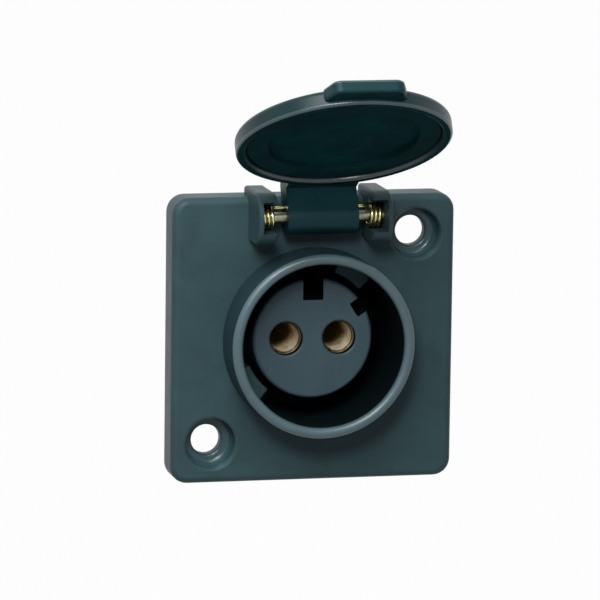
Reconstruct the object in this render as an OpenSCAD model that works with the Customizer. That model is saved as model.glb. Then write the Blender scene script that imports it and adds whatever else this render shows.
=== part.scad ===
// Low-voltage panel socket: square flange, round collar, two-pole contact insert and hinged lid.
// Frame: X to the right, Z up, the socket faces -Y. The origin is the centre of the flange's back face.

/* [Flange] */
// Width and height of the square flange
flange_w = 50; // [49:0.5:56]
// Thickness of the flange
flange_t = 6; // [5.5:0.25:8]
// Radius of the flange's corners
flange_corner_r = 3; // [1.5:0.25:5]
// Radius of the flange's front edge
flange_edge_r = 0.9; // [0.4:0.1:1.5]
// Thickness of the flange's front wall, over the pockets behind it
flange_front_wall = 2.8; // [2:0.1:3.5]
// Thickness of the flange's outer rim, around the pockets
flange_rim_wall = 2; // [1.5:0.1:3]
// Thickness of the ribs between the pockets
flange_rib_t = 1.2; // [0.8:0.1:2]

/* [Mounting holes] */
// Distance between the two mounting holes, across and up
mount_spacing = 36; // [35:0.5:38]
// Diameter of a mounting hole
mount_hole_d = 5.2; // [4:0.1:5.6]
// Diameter of the recess for a screw head
head_recess_d = 9; // [8:0.1:9.6]
// Depth of the recess for a screw head
head_recess_depth = 4; // [2:0.1:4.5]
// Wall of the boss around the recess, at the back
mount_boss_wall = 1.5; // [1:0.1:2]

/* [Collar] */
// Outer diameter of the collar that guards the contacts
collar_od = 32.2; // [31:0.1:33]
// Wall thickness of the collar
collar_wall = 1.85; // [1.6:0.05:2.4]
// Height of the collar's rim in front of the flange
collar_h = 8.6; // [7:0.1:10]
// Radius that rounds the collar's lip on both sides
collar_lip_r = 0.7; // [0.3:0.05:0.75]
// Depth of the round groove inside the collar, from the flange's front
groove_depth = 15; // [12:0.25:18]

/* [Rear barrel] */
// Outer diameter of the barrel behind the flange
barrel_od = 36; // [35:0.25:37]
// Space between the insert and the barrel, for the heads of the insert's screws
rear_space = 5.4; // [4.8:0.1:5.8]
// Thickness of the web that closes the groove
web_t = 3; // [2:0.1:4]

/* [Screw lugs in the groove] */
// Angle of the upper lug, from the right, turning up
upper_lug_angle = 56; // [40:1:75]
// Angle of the lower lug, from the right, turning up
lower_lug_angle = 218; // [200:1:250]
// Angle that each lug covers
lug_sweep = 27; // [24:1:40]
// Height of a lug above the floor of the groove
lug_h = 12.5; // [6:0.25:13.5]
// Wall between a lug's screw and its inner face
lug_wall = 0.6; // [0.5:0.05:1]

/* [Contact insert] */
// Diameter of the insert
insert_d = 21.2; // [20:0.1:21.4]
// Depth of the insert's face behind the flange's front
insert_recess = 0.6; // [0:0.1:3]
// Chamfer around the insert's face
insert_chamfer = 0.4; // [0.2:0.1:0.8]
// Gap between the insert and the bore of the web
insert_clear = 0.15; // [0.05:0.05:0.3]
// Thickness of the insert's shoulder behind the web
shoulder_t = 1.5; // [1:0.1:3]
// Length of the insert behind the clamp ring
insert_tail = 2.4; // [2:0.1:4]
// Thickness of the seal between the shoulder and the web
seal_t = 0.8; // [0.5:0.1:1.5]
// Width of the major keyway at the top
major_key_w = 3.6; // [2.4:0.1:4]
// Depth of the major keyway
major_key_depth = 3.9; // [2:0.1:4.2]
// Width of the minor keyway
minor_key_w = 2.8; // [1.6:0.1:3]
// Depth of the minor keyway
minor_key_depth = 2; // [1:0.1:2.4]
// Angle of the minor keyway, from the right, turning up
minor_key_angle = 33; // [30:1:60]

/* [Contacts] */
// Distance between the two contacts
contact_pitch = 9.4; // [9.2:0.1:10]
// Diameter of the plug pin that the socket takes
plug_pin_d = 5; // [4.5:0.05:5.1]
// Radial clearance of a plug pin in its sleeve
plug_pin_clear = 0.05; // [0.02:0.01:0.1]
// Wall thickness of a contact sleeve
sleeve_wall = 0.85; // [0.6:0.05:0.95]
// Diameter of the openings in the insert's face
entry_d = 5.7; // [5.4:0.1:6]
// Thickness of the insert's face over the contact chambers
entry_lip_t = 1.2; // [1:0.1:3]
// Taper of the openings' wall, from the chamber to the face
entry_taper = 0.1; // [0.05:0.05:0.2]
// Chamfer around the openings
entry_chamfer = 0.4; // [0.1:0.05:0.6]
// Gap between a sleeve's mouth and the insert's face wall
sleeve_gap = 0.2; // [0.1:0.1:0.6]
// Depth of a sleeve's bore
sleeve_bore_depth = 17; // [14:0.5:18]
// Width of the slits in a sleeve
slit_w = 0.7; // [0.4:0.1:1]
// Length of the slits in a sleeve
slit_len = 12; // [8:0.5:14]
// Angle of the slits
slit_angle = 60; // [0:5:90]
// Thickness of the spring ring around a sleeve
ring_t = 0.35; // [0.25:0.05:0.4]
// Width of the spring ring
ring_w = 2.5; // [1.5:0.1:4]
// Distance of the spring ring from the sleeve's mouth
ring_setback = 3; // [1:0.25:6]
// Gap between the spring ring and its chamber
ring_clear = 0.05; // [0.05:0.05:0.1]
// Radial width of the collar that holds a contact in the insert
stop_collar_w = 0.8; // [0.6:0.05:0.85]
// Length of that collar
stop_collar_len = 1.6; // [1:0.1:2]
// Gap around that collar
stop_collar_clear = 0.1; // [0.05:0.05:0.15]
// Length of a terminal post behind the retainer
terminal_len = 10; // [8:0.5:14]
// Diameter of the wire hole in a terminal post
wire_hole_d = 3.8; // [2.5:0.1:4.2]
// Depth of the wire hole
wire_hole_depth = 9; // [6:0.5:12]

/* [Clamp ring, retainer and screws] */
// Thickness of the ring that clamps the insert's shoulder
clamp_t = 2; // [1.5:0.1:3]
// Gap between the clamp ring and the barrel, and between it and the insert
clamp_clear = 0.2; // [0.1:0.05:0.4]
// Thickness of the plate that holds the contacts
retainer_t = 3; // [2:0.1:4]
// Gap between a terminal post and the retainer
retainer_clear = 0.15; // [0.1:0.05:0.3]
// Distance of the retainer's screws above and below the centre
retainer_screw_offset = 7.4; // [7:0.1:7.8]
// Diameter of the small screws that hold the insert and the retainer
small_screw_d = 2.5; // [2:0.1:2.6]
// Diameter of their heads
small_head_d = 4.4; // [4:0.1:4.6]
// Height of their heads
small_head_h = 1.6; // [1:0.1:2]
// Gap around a small screw where it passes through a plate
small_screw_clear = 0.2; // [0.1:0.05:0.3]
// Gap between an insert screw's head and the barrel
small_head_clear = 0.2; // [0.1:0.05:0.4]
// Length of thread that bites into the plastic
small_screw_grip = 5; // [4:0.25:6]
// Diameter of the terminal screws
terminal_screw_d = 3.2; // [2.5:0.1:3.5]
// Diameter of a terminal screw's head
terminal_head_d = 5; // [4:0.1:5.4]
// Height of a terminal screw's head
terminal_head_h = 1.8; // [1:0.1:2.5]
// Gap under a terminal screw's head while the terminal is open
terminal_head_gap = 1.8; // [1:0.1:2.5]

/* [Hinge] */
// Distance of the hinge pin below the flange's top edge
pin_edge_dist = 3; // [2.5:0.1:4]
// Distance of the hinge pin in front of the flange
pin_out = 3.8; // [3.7:0.1:4.5]
// Diameter of the hinge pin
pin_d = 1.9; // [1.6:0.1:2.2]
// Radial clearance of the lid's knuckle on the pin
pin_clear = 0.05; // [0.02:0.01:0.1]
// Depth of the pin's right end inside the outer face of the right ear
pin_inset = 0.2; // [0:0.1:0.5]
// Thickness of the left ear's skin outside the blind end of the pin's hole
pin_skin = 0.3; // [0.2:0.05:0.4]
// Clear distance between the two ears
ear_gap = 16.8; // [15:0.1:19]
// Thickness of an ear
ear_t = 3.4; // [3:0.1:4.5]
// Height of an ear above the pin
ear_above = 4.6; // [4:0.1:6]
// Height of an ear below the pin
ear_below = 4.5; // [4:0.1:5]
// Reach of an ear in front of the flange
ear_reach = 9; // [8:0.1:9.5]
// Radius of an ear's front corners
ear_corner_r = 4; // [2:0.1:4.4]
// Depth of an ear behind the flange's front, where it stands above the flange
ear_root = 4; // [2:0.1:5]
// Thickness of the cheek outside the spring pocket
ear_cheek = 0.8; // [0.6:0.05:1.5]

/* [Hinge springs] */
// Diameter of the spring wire
spring_wire_d = 0.65; // [0.5:0.05:0.7]
// Outer diameter of a coil
spring_od = 4.1; // [3.9:0.1:4.8]
// Turns in a coil
spring_turns = 3; // [1.5:0.5:3]
// Gap between a coil and its pocket
spring_pocket_clear = 0.2; // [0.15:0.05:0.3]
// Rise of a pocket's open front above the coil
spring_pocket_rise = 1; // [0:0.1:1.1]
// Distance that a coil stands out of its pocket towards the lid's knuckle
spring_stand = 0.4; // [0:0.1:0.8]
// Radius of the bend between a coil and its tail
spring_bend_r = 0.8; // [0.5:0.1:1]
// Length of tail inside the knuckle
spring_tail_in = 1.4; // [0.8:0.1:2.5]
// Gap around a tail in its hole
spring_tail_clear = 0.1; // [0.05:0.05:0.2]

/* [Lid] */
// Angle between the closed lid and the lid as modelled
lid_open_angle = 120; // [60:1:124]
// Gap between the collar and the lid's rim
lid_rim_gap = 0.5; // [0.3:0.05:0.8]
// Thickness of the lid's rim
lid_rim_wall = 1.8; // [1.2:0.05:2.2]
// Depth by which the closed lid's rim passes the collar's lip
lid_overlap = 0.6; // [0.2:0.05:1]
// Depth of the lid, from the edge of its rim to its outer face
lid_depth = 3.2; // [2.8:0.1:4]
// Thickness of the lid's plate
lid_plate_t = 1.6; // [1:0.1:1.8]
// Radius that rounds the lid's outer edge
lid_edge_r = 1.1; // [0.5:0.1:1.5]
// Gap between the gasket and the collar's lip when the lid is closed
gasket_gap = 0.1; // [0.05:0.05:0.3]
// Gap around the gasket
gasket_clear = 0.15; // [0.1:0.05:0.3]
// Width of the gasket
gasket_w = 3.6; // [2.5:0.1:6]
// Gap between the lid's knuckle and an ear
knuckle_gap = 2.2; // [1.5:0.1:3]
// Radius of the lid's knuckle
knuckle_r = 3; // [2.6:0.05:3.2]
// Distance of the arm's back behind the pin's axis
arm_back = 1.2; // [0.6:0.1:1.3]
// Radius of the arm's upper corner
arm_corner_r = 1.8; // [0.5:0.1:1.8]
// Width of the lift tab at its end
tab_w = 11.6; // [7:0.1:14]
// Widening of the lift tab on each side at its root
tab_flare = 1.4; // [0.5:0.1:3]
// Reach of the lift tab beyond the lid's rim
tab_reach = 2.8; // [1.5:0.1:5]
// Thickness of the lift tab
tab_t = 2.3; // [1.2:0.1:2.8]
// Radius of the lift tab's corners
tab_corner_r = 1.2; // [0.4:0.1:2]

/* [Hidden] */
$fn = 96;

// Overlap that makes joined shapes one solid, and the reach of a cut beyond a face
join = 0.5;
over = 1;

// Levels along the socket's axis, measured out of the panel from the flange's back
front_z = flange_t;
rim_z = front_z + collar_h;
face_z = front_z - insert_recess;
floor_z = front_z - groove_depth;
web_back_z = floor_z - web_t;
seal_back_z = web_back_z - seal_t;
shoulder_back_z = seal_back_z - shoulder_t;
clamp_back_z = shoulder_back_z - clamp_t;
tail_back_z = clamp_back_z - insert_tail;
retainer_back_z = tail_back_z - retainer_t;
post_end_z = retainer_back_z - terminal_len;

// Radii of the housing and the insert
collar_r = collar_od / 2;
groove_r = collar_r - collar_wall;
barrel_r = barrel_od / 2;
insert_r = insert_d / 2;
barrel_bore_r = insert_r + rear_space;
insert_screw_r = barrel_bore_r - small_head_d / 2 - small_head_clear;
shoulder_r = insert_screw_r - small_screw_d / 2 - small_screw_clear;
lug_inner_r = insert_screw_r - small_screw_d / 2 - lug_wall;
lug_angles = [upper_lug_angle, lower_lug_angle];

// Contacts
sleeve_bore_r = plug_pin_d / 2 + plug_pin_clear;
sleeve_r = sleeve_bore_r + sleeve_wall;
chamber_r = sleeve_r + ring_t + ring_clear;
stop_collar_r = sleeve_r + stop_collar_w;
sleeve_mouth_z = face_z - entry_lip_t - sleeve_gap;
stop_front_z = tail_back_z + stop_collar_len;
terminal_screw_z = retainer_back_z - terminal_len / 2;

// Hinge
pin_up = flange_w / 2 - pin_edge_dist;
pin_z = front_z + pin_out;
ear_in = ear_gap / 2;
ear_out = ear_in + ear_t;
knuckle_half = ear_in - knuckle_gap;
pocket_end = ear_out - ear_cheek;
pin_left = ear_out - pin_skin;
pin_right = ear_out - pin_inset;
spring_r = (spring_od - spring_wire_d) / 2;
coil_inner_x = ear_in - spring_stand + spring_wire_d / 2;
coil_outer_x = pocket_end - spring_pocket_clear - spring_wire_d / 2;

// Lid, measured from the pin's axis with the lid closed
lid_r = collar_r + lid_rim_gap + lid_rim_wall;
lid_bore_r = lid_r - lid_rim_wall;
lid_edge_z = rim_z - lid_overlap - pin_z;
lid_face_z = lid_edge_z + lid_depth;
lid_floor_z = lid_face_z - lid_plate_t;
gasket_z = rim_z + gasket_gap - pin_z;
arm_end_y = -(pin_up - lid_bore_r) + join;

// Colours
plastic = [0.16, 0.23, 0.25];
lid_plastic = [0.06, 0.16, 0.18];
insert_plastic = [0.24, 0.29, 0.31];
black_rubber = [0.05, 0.05, 0.05];
brass = [0.78, 0.62, 0.3];
yellow_zinc = [0.76, 0.64, 0.34];
steel = [0.7, 0.71, 0.72];

// Points of an arc about (cx, cy), from one angle to another
function arc(cx, cy, r, from, to, steps = 6) =
    [for (i = [0 : steps]) let (a = from + (to - from) * i / steps) [cx + r * cos(a), cy + r * sin(a)]];

// Turns a shape drawn with z out of the panel and y up into the part's frame
module on_panel() {
    rotate([90, 0, 0]) children();
}

// Places a shape drawn about the pin's axis, with the lid closed, as the lid stands
module on_lid() {
    on_panel() translate([0, pin_up, pin_z]) rotate([-lid_open_angle, 0, 0]) children();
}

// Extrudes a shape drawn in y and z along x, centred
module across(width) {
    rotate([90, 0, 90]) linear_extrude(width, center = true) children();
}

module at_mount_holes() {
    for (side = [-1, 1]) translate([side, side, 0] * mount_spacing / 2) children();
}

module at_lugs() {
    for (a = lug_angles) rotate(a) translate([insert_screw_r, 0, 0]) children();
}

module at_retainer_screws() {
    for (side = [-1, 1]) translate([0, side * retainer_screw_offset, 0]) children();
}

module at_contacts() {
    for (side = [-1, 1]) translate([side * contact_pitch / 2, 0, 0]) children();
}

module rounded_square(w, r) {
    square([w - 2 * r, w], center = true);
    square([w, w - 2 * r], center = true);
    for (x = [-1, 1], y = [-1, 1]) translate([x, y] * (w / 2 - r)) circle(r);
}

// Section of the flange with its rounded front edges
module flange_section() {
    h = flange_w / 2;
    r = flange_edge_r;
    polygon(concat([[-h, 0], [h, 0]],
        arc(h - r, flange_t - r, r, 0, 90), arc(r - h, flange_t - r, r, 90, 180)));
}

module flange_plate() {
    intersection() {
        linear_extrude(flange_t) rounded_square(flange_w, flange_corner_r);
        across(2 * flange_w) flange_section();
        rotate([90, 0, 0]) linear_extrude(2 * flange_w, center = true) flange_section();
    }
}

// Collar, web and barrel, turned about the socket's axis
module turned_shell() {
    lip = collar_lip_r;
    rotate_extrude() polygon(concat(
        [[barrel_r, clamp_back_z], [barrel_r, flange_t / 2], [collar_r, flange_t / 2]],
        arc(collar_r - lip, rim_z - lip, lip, 0, 90),
        arc(groove_r + lip, rim_z - lip, lip, 90, 180),
        [[groove_r, floor_z], [insert_r + insert_clear, floor_z], [insert_r + insert_clear, web_back_z],
         [barrel_bore_r, web_back_z], [barrel_bore_r, clamp_back_z]]));
}

// Lugs that stand on the groove's floor, key the plug and take the insert's screws
module screw_lugs() {
    for (a = lug_angles) rotate(a - lug_sweep / 2) rotate_extrude(angle = lug_sweep)
        translate([lug_inner_r, floor_z - join])
            square([groove_r - lug_inner_r + join, lug_h + join]);
}

// Outline of a hinge ear, seen from the side
module ear_section() {
    r = ear_corner_r;
    top = pin_up + ear_above;
    bottom = pin_up - ear_below;
    front = front_z + ear_reach;
    polygon(concat([[top, front_z - ear_root]], arc(top - r, front - r, r, 0, 90, 9),
        arc(bottom + r, front - r, r, 90, 180, 9), [[bottom, front_z - ear_root]]));
}

module hinge_ears() {
    for (side = [-1, 1]) translate([side * (ear_in + ear_t / 2), 0, 0]) across(ear_t) ear_section();
}

// Pockets for the spring coils, open to the front and to the lid's knuckle
module spring_pockets() {
    r = spring_od / 2 + spring_pocket_clear;
    width = pocket_end - ear_in + over;
    for (side = [-1, 1]) translate([side * (pocket_end - width / 2), pin_up, pin_z]) {
        rotate([0, 90, 0]) cylinder(r = r, h = width, center = true);
        translate([-width / 2, -r, 0]) cube([width, 2 * r + spring_pocket_rise, ear_reach]);
    }
}

// Pockets in the flange's back, between its rim, the barrel, the bosses and the ribs
module back_pockets() {
    boss_r = head_recess_d / 2 + mount_boss_wall;
    linear_extrude(2 * (flange_t - flange_front_wall), center = true) difference() {
        square(flange_w - 2 * flange_rim_wall, center = true);
        circle(barrel_r + flange_rim_wall / 2);
        at_mount_holes() circle(boss_r);
        for (a = [0 : 45 : 135]) rotate(a) square([2 * flange_w, flange_rib_t], center = true);
    }
}

module housing() {
    color(plastic) on_panel() difference() {
        union() {
            difference() {
                flange_plate();
                translate([0, 0, -over]) cylinder(r = collar_r - collar_wall / 2, h = flange_t + 2 * over);
            }
            turned_shell();
            screw_lugs();
            hinge_ears();
        }
        back_pockets();
        at_mount_holes() {
            translate([0, 0, -over]) cylinder(d = mount_hole_d, h = flange_t + 2 * over);
            translate([0, 0, front_z - head_recess_depth]) cylinder(d = head_recess_d, h = flange_t);
        }
        at_lugs() translate([0, 0, web_back_z - over])
            cylinder(d = small_screw_d, h = small_screw_grip + over);
        translate([-pin_left, pin_up, pin_z]) rotate([0, 90, 0])
            cylinder(d = pin_d, h = pin_left + ear_out + over);
        spring_pockets();
    }
}

// Solid of the insert: face, shoulder and tail
module insert_blank() {
    rotate_extrude() polygon([
        [0, tail_back_z], [insert_r, tail_back_z], [insert_r, shoulder_back_z],
        [shoulder_r, shoulder_back_z], [shoulder_r, seal_back_z], [insert_r, seal_back_z],
        [insert_r, face_z - insert_chamfer], [insert_r - insert_chamfer, face_z], [0, face_z]]);
}

// Cut for one contact: opening, chamber and seat of the stop collar
module contact_chamber() {
    entry_r = entry_d / 2;
    lip_back_z = face_z - entry_lip_t;
    translate([0, 0, lip_back_z - over])
        cylinder(r1 = entry_r - entry_taper, r2 = entry_r, h = entry_lip_t + over);
    translate([0, 0, face_z - entry_chamfer])
        cylinder(r1 = entry_r - entry_taper, r2 = entry_r + 2 * entry_chamfer, h = 2 * entry_chamfer);
    translate([0, 0, tail_back_z - over])
        cylinder(r = chamber_r, h = lip_back_z - tail_back_z + over);
    translate([0, 0, tail_back_z - over])
        cylinder(r = stop_collar_r + stop_collar_clear, h = stop_collar_len + over);
}

// Cut for a keyway that opens to the right, from the groove's floor to the face
module keyway(w, depth) {
    translate([insert_r - depth, -w / 2, floor_z]) cube([depth + over, w, face_z - floor_z + over]);
}

module contact_insert() {
    color(insert_plastic) on_panel() difference() {
        insert_blank();
        at_contacts() contact_chamber();
        rotate(90) keyway(major_key_w, major_key_depth);
        rotate(minor_key_angle) keyway(minor_key_w, minor_key_depth);
        at_retainer_screws() translate([0, 0, tail_back_z - over])
            cylinder(d = small_screw_d, h = small_screw_grip + over);
    }
}

module insert_seal() {
    color(black_rubber) on_panel() translate([0, 0, seal_back_z]) linear_extrude(seal_t) difference() {
        circle(shoulder_r);
        circle(insert_r + insert_clear);
    }
}

// Ring behind the insert's shoulder that the two screws draw against it
module clamp_ring() {
    color(steel) on_panel() translate([0, 0, clamp_back_z]) linear_extrude(clamp_t) difference() {
        circle(barrel_bore_r - clamp_clear);
        circle(insert_r + clamp_clear);
        at_lugs() circle(d = small_screw_d + 2 * small_screw_clear);
    }
}

// Slotted screw with its head below z = 0 and its shank above
module slotted_screw(d, len, head_d, head_h) {
    slot_w = head_d / 5;
    difference() {
        union() {
            translate([0, 0, -head_h]) cylinder(d = head_d, h = head_h);
            translate([0, 0, -head_h / 2]) cylinder(d = d, h = len + head_h / 2);
        }
        translate([0, 0, -head_h]) cube([2 * head_d, slot_w, head_h], center = true);
    }
}

module insert_screws() {
    grip_end_z = web_back_z + small_screw_grip - join;
    color(steel) on_panel() at_lugs() translate([0, 0, clamp_back_z])
        slotted_screw(small_screw_d, grip_end_z - clamp_back_z, small_head_d, small_head_h);
}

module contact_retainer() {
    color(insert_plastic) on_panel() translate([0, 0, retainer_back_z])
        linear_extrude(retainer_t) difference() {
            circle(insert_r);
            at_contacts() circle(sleeve_r + retainer_clear);
            at_retainer_screws() circle(d = small_screw_d + 2 * small_screw_clear);
        }
}

module retainer_screws() {
    color(steel) on_panel() at_retainer_screws() translate([0, 0, retainer_back_z])
        slotted_screw(small_screw_d, retainer_t + small_screw_grip - join, small_head_d, small_head_h);
}

// Brass contact: slit sleeve, stop collar and terminal post
module contact(side) {
    bore_end_z = sleeve_mouth_z - sleeve_bore_depth;
    wire_r = wire_hole_d / 2;
    mouth = sleeve_wall / 3;
    color(brass) on_panel() translate([side * contact_pitch / 2, 0, 0]) difference() {
        rotate_extrude() polygon([
            [0, bore_end_z], [sleeve_bore_r, bore_end_z], [sleeve_bore_r, sleeve_mouth_z - mouth],
            [sleeve_bore_r + mouth, sleeve_mouth_z], [sleeve_r, sleeve_mouth_z], [sleeve_r, stop_front_z],
            [stop_collar_r, stop_front_z], [stop_collar_r, tail_back_z], [sleeve_r, tail_back_z],
            [sleeve_r, post_end_z], [wire_r, post_end_z], [wire_r, post_end_z + wire_hole_depth],
            [0, post_end_z + wire_hole_depth]]);
        rotate(slit_angle) translate([-sleeve_r - over, -slit_w / 2, sleeve_mouth_z - slit_len])
            cube([2 * (sleeve_r + over), slit_w, slit_len + over]);
        translate([0, 0, terminal_screw_z]) rotate([-90, 0, 0])
            cylinder(d = terminal_screw_d, h = sleeve_r + over);
    }
}

module left_contact() {
    contact(-1);
}

module right_contact() {
    contact(1);
}

// Split steel ring that presses a sleeve's two halves together
module contact_spring(side) {
    color(steel) on_panel()
        translate([side * contact_pitch / 2, 0, sleeve_mouth_z - ring_setback - ring_w])
            linear_extrude(ring_w) difference() {
                circle(sleeve_r + ring_t);
                circle(sleeve_r);
                rotate(slit_angle) translate([0, -slit_w / 2]) square([2 * sleeve_r, slit_w]);
            }
}

module left_contact_spring() {
    contact_spring(-1);
}

module right_contact_spring() {
    contact_spring(1);
}

module terminal_screws() {
    head_y = sleeve_r + terminal_head_gap;
    tip_y = wire_hole_d / 2;
    color(steel) on_panel() at_contacts() translate([0, head_y, terminal_screw_z]) rotate([90, 0, 0])
        slotted_screw(terminal_screw_d, head_y - tip_y, terminal_head_d, terminal_head_h);
}

// Plate and rim of the lid, turned about the lid's own axis
module lid_dish() {
    r = lid_edge_r;
    translate([0, -pin_up, 0]) rotate_extrude() polygon(concat(
        [[0, lid_floor_z], [lid_bore_r, lid_floor_z], [lid_bore_r, lid_edge_z], [lid_r, lid_edge_z]],
        arc(lid_r - r, lid_face_z - r, r, 0, 90), [[0, lid_face_z]]));
}

// Lift tab at the lid's free end, wider at its root
module lift_tab() {
    h = tab_w / 2;
    r = tab_corner_r;
    end = pin_up + lid_r + tab_reach;
    root = pin_up + lid_bore_r + join;
    lean = atan(tab_flare / (end - root));
    inset = r * (1 - sin(lean)) / cos(lean);
    translate([0, 0, lid_face_z - tab_t]) linear_extrude(tab_t) polygon(concat(
        [[h + tab_flare, -root], [-h - tab_flare, -root]],
        arc(inset - h, r - end, r, 180 + lean, 270), arc(h - inset, r - end, r, 270, 360 - lean)));
}

// Arm that carries the lid on its knuckle, seen from the side
module arm_section() {
    r = arm_corner_r;
    polygon(concat(arc(0, 0, knuckle_r, 180, 360 + acos(arm_back / knuckle_r), 20),
        arc(arm_back - r, lid_face_z - r, r, 0, 90),
        [[arm_end_y, lid_face_z], [arm_end_y, lid_edge_z], [-knuckle_r, lid_edge_z]]));
}

module lid() {
    tail_hole_d = spring_wire_d + 2 * spring_tail_clear;
    color(lid_plastic) on_lid() difference() {
        union() {
            lid_dish();
            lift_tab();
            across(2 * knuckle_half) arm_section();
        }
        rotate([0, 90, 0]) cylinder(r = pin_d / 2 + pin_clear, h = 2 * ear_in, center = true);
        for (side = [-1, 1]) translate([side * knuckle_half, 0, spring_r]) rotate([0, side * -90, 0])
            translate([0, 0, -over]) cylinder(d = tail_hole_d, h = spring_tail_in + spring_wire_d + over);
    }
}

module lid_gasket() {
    outer_r = lid_bore_r - gasket_clear;
    color(black_rubber) on_lid() translate([0, -pin_up, gasket_z])
        linear_extrude(lid_floor_z - gasket_z) difference() {
            circle(outer_r);
            circle(outer_r - gasket_w);
        }
}

module hinge_pin() {
    color(brass) on_panel() translate([-pin_left, pin_up, pin_z]) rotate([0, 90, 0])
        cylinder(d = pin_d, h = pin_left + pin_right);
}

// Path of a spring's wire: the coil from its outer end, a bend, and the tail that enters the knuckle
coil_steps = 20;
coil_turn = 360 * spring_turns;
bend_turn = spring_bend_r / spring_r * 180 / PI;
coil_start = 90 - bend_turn - coil_turn;
tail_end_x = knuckle_half - spring_tail_in;
function on_coil(x, a) = [x, spring_r * cos(a), spring_r * sin(a)];
coil_path = [for (i = [0 : round(coil_steps * spring_turns)]) let (t = i / round(coil_steps * spring_turns))
    on_coil(coil_outer_x + (coil_inner_x - coil_outer_x) * t, coil_start + coil_turn * t)];
bend_path = [for (b = [22.5 : 22.5 : 90])
    on_coil(coil_inner_x - spring_bend_r * (1 - cos(b)), 90 - bend_turn * (1 - sin(b)))];
wire_path = concat(coil_path, bend_path, [on_coil(tail_end_x, 90)]);

// Sweeps a round wire along a path that winds about the x axis
module swept_wire(path, d, sides = 8) {
    last = len(path) - 1;
    function unit(v) = v / norm(v);
    function ring(i) =
        let (t = unit(path[min(i + 1, last)] - path[max(i - 1, 0)]),
             out = [0, path[i][1], path[i][2]],
             n = unit(out - (out * t) * t),
             b = cross(t, n))
        [for (k = [0 : sides - 1]) path[i] + d / 2 * (cos(360 * k / sides) * n + sin(360 * k / sides) * b)];
    points = [for (i = [0 : last]) each ring(i)];
    walls = [for (i = [0 : last - 1], k = [0 : sides - 1]) let (m = (k + 1) % sides)
        [i * sides + k, (i + 1) * sides + k, (i + 1) * sides + m, i * sides + m]];
    start_cap = [[for (k = [0 : sides - 1]) k]];
    end_cap = [[for (k = [sides - 1 : -1 : 0]) last * sides + k]];
    polyhedron(points, concat(start_cap, walls, end_cap));
}

module hinge_spring(side) {
    color(yellow_zinc) on_lid() mirror([side < 0 ? 1 : 0, 0, 0]) swept_wire(wire_path, spring_wire_d);
}

module left_hinge_spring() {
    hinge_spring(-1);
}

module right_hinge_spring() {
    hinge_spring(1);
}

housing();
contact_insert();
insert_seal();
clamp_ring();
insert_screws();
contact_retainer();
retainer_screws();
left_contact();
right_contact();
left_contact_spring();
right_contact_spring();
terminal_screws();
lid();
lid_gasket();
hinge_pin();
left_hinge_spring();
right_hinge_spring();
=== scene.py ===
"""Low-voltage panel socket with its hinged lid standing open, dressed for rendering."""

import math

import bmesh
import bpy
from mathutils import Matrix, Vector


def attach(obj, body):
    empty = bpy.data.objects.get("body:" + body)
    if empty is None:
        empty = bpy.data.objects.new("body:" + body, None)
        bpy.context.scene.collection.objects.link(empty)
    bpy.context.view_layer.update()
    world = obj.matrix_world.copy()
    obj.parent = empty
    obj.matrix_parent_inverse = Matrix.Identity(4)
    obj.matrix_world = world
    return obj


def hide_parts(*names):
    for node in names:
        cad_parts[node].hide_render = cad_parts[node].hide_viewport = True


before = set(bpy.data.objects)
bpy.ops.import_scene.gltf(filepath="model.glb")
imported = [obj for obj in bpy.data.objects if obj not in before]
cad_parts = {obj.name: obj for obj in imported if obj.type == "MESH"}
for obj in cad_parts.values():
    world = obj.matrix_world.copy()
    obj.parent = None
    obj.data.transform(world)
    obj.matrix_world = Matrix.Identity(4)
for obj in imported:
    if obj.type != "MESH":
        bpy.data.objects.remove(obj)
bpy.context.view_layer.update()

MM = 0.001
ORIGIN = (0, 0, 0)
SIDES = (("left", -1), ("right", 1))

# Sizes of the part's source, in millimetres: x to the right, y up, z out of the panel

# Flange and mounting holes
FLANGE_W = 50.0
FLANGE_T = 6.0
FLANGE_CORNER = 3.0
FRONT_WALL = 2.8
RIM_WALL = 2.0
RIB_T = 1.2
RIB_ANGLES = (0, 45, 90, 135)
MOUNT_AT = 18.0
MOUNT_R = 2.6
RECESS_R = 4.5
RECESS_DEPTH = 4.0
BOSS_WALL = 1.5

# Collar, barrel and the lugs in the groove
COLLAR_R = 16.1
COLLAR_WALL = 1.85
COLLAR_H = 8.6
GROOVE_DEPTH = 15.0
BARREL_R = 18.0
REAR_SPACE = 5.4
WEB_T = 3.0
LUGS = (("upper", 56.0), ("lower", 218.0))
LUG_SWEEP = 27.0
LUG_H = 12.5
LUG_WALL = 0.6

# Contact insert; each keyway has a width, a depth and an angle from the right
INSERT_R = 10.6
INSERT_RECESS = 0.6
INSERT_CLEAR = 0.15
SEAL_T = 0.8
SHOULDER_T = 1.5
CLAMP_T = 2.0
INSERT_TAIL = 2.4
KEYWAYS = ((3.6, 3.9, 90.0), (2.8, 2.0, 33.0))

# Contacts
CONTACT_X = 4.7
ENTRY_R = 2.85
ENTRY_LIP = 1.2
SLEEVE_BORE_R = 2.55
SLEEVE_WALL = 0.85
SLEEVE_GAP = 0.2
SLEEVE_BORE_DEPTH = 17.0
RING_SPACE = 0.4
SLIT_W = 0.7
SLIT_LEN = 12.0
SLIT_ANGLE = 60.0
STOP_W = 0.8
STOP_CLEAR = 0.1
STOP_LEN = 1.6
RETAINER_T = 3.0
TERMINAL_LEN = 10.0
TERMINAL_SCREW_R = 1.6
WIRE_HOLE_R = 1.9
WIRE_HOLE_DEPTH = 9.0

# Small screws
SCREW_R = 1.25
SCREW_CLEAR = 0.2
SCREW_GRIP = 5.0
HEAD_R = 2.2
HEAD_CLEAR = 0.2
RETAINER_SCREW_Y = 7.4

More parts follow.
